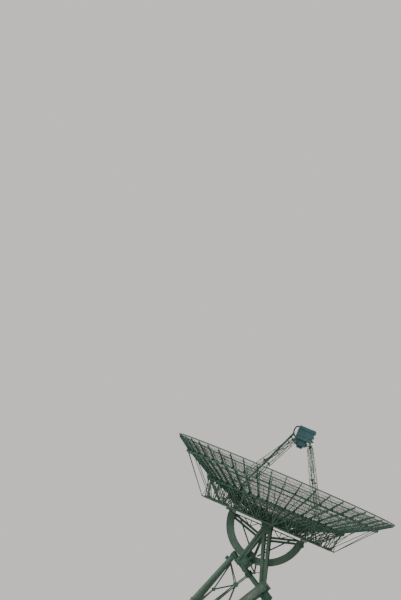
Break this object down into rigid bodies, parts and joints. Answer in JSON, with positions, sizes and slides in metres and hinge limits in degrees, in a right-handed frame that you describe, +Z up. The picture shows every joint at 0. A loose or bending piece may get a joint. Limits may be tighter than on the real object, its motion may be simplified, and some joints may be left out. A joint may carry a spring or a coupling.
{
  "type": "radio telescope dish",
  "caption": "Steerable radio telescope with a see-through mesh bowl on a tilted polar axle, drive arcs, lattice feed legs and long tube legs.",
  "frame": {"origin": "centre of the object's box at ground level, between the north and south plinths", "axes": "+Z up; +X towards the equator (the way the dish looks at rest), -X towards the pole; +Y along the declination axis at rest"},
  "size_m": [29.6892, 25.0144, 27.8451],
  "materials": {
    "steelwork_paint": "weathered grey-green paint on steel, semi-matt",
    "steelwork_dark": "weathered dark green paint on steel, semi-matt",
    "reflector_mesh": "fine galvanised wire mesh, see-through",
    "receiver_paint": "blue-green paint on sheet metal, satin",
    "plinth_concrete": "cast concrete, rough and matt"
  },
  "bodies": {
    "base": {"beam_collar": "steelwork_dark", "hour_drive": "steelwork_dark", "lower_head": "steelwork_dark", "north_leg_far": "steelwork_paint", "north_leg_near": "steelwork_paint", "plinth_north_far": "plinth_concrete", "plinth_north_near": "plinth_concrete", "plinth_south": "plinth_concrete", "polar_beam": "steelwork_paint", "south_leg": "steelwork_paint", "star_frame": "steelwork_paint", "tie_far": "steelwork_paint", "tie_near": "steelwork_paint", "upper_head": "steelwork_dark"},
    "fork": {"declination_drive": "steelwork_dark", "fork_far": "steelwork_paint", "fork_near": "steelwork_paint", "hour_arc": "steelwork_paint", "lower_hub": "steelwork_paint", "upper_sleeve": "steelwork_dark"},
    "reflector": {"arc_brace_north": "steelwork_dark", "arc_brace_south": "steelwork_dark", "axle": "steelwork_dark", "declination_arc": "steelwork_paint", "feed_box": "receiver_paint", "feed_leg_north_far": "steelwork_paint", "feed_leg_north_near": "steelwork_paint", "feed_leg_south_far": "steelwork_paint", "feed_leg_south_near": "steelwork_paint", "feed_lid": "receiver_paint", "girder_north": "steelwork_paint", "girder_south": "steelwork_paint", "hub_deck": "steelwork_paint", "hub_ring": "steelwork_dark", "lower_ring": "steelwork_dark", "mesh_panel_1": "reflector_mesh", "mesh_panel_2": "reflector_mesh", "mesh_panel_3": "reflector_mesh", "mesh_panel_4": "reflector_mesh", "outer_struts_1": "steelwork_dark", "outer_struts_2": "steelwork_dark", "outer_struts_3": "steelwork_dark", "outer_struts_4": "steelwork_dark", "rib_frame_1": "steelwork_dark", "rib_frame_2": "steelwork_dark", "rib_frame_3": "steelwork_dark", "rib_frame_4": "steelwork_dark", "rib_frame_5": "steelwork_dark", "rib_frame_6": "steelwork_dark", "rib_frame_7": "steelwork_dark", "rib_frame_8": "steelwork_dark", "rim_ring": "steelwork_dark", "ring_mid": "steelwork_dark", "ring_outer": "steelwork_dark", "truss_1": "steelwork_paint", "truss_2": "steelwork_paint", "truss_3": "steelwork_paint", "truss_4": "steelwork_paint"}
  },
  "joints": [
    {"name": "hour_axis", "type": "hinge", "parent": "base", "child": "fork", "pos_m": [-2.49364, 0, 14.36492], "axis": [-0.6032, 0, 0.7976], "range_deg": [-90, 90]},
    {"name": "declination_axis", "type": "hinge", "parent": "fork", "child": "reflector", "pos_m": [1.255, 0, 17.2], "axis": [0, -1, 0], "range_deg": [-59.6, 60.4]}
  ]
}
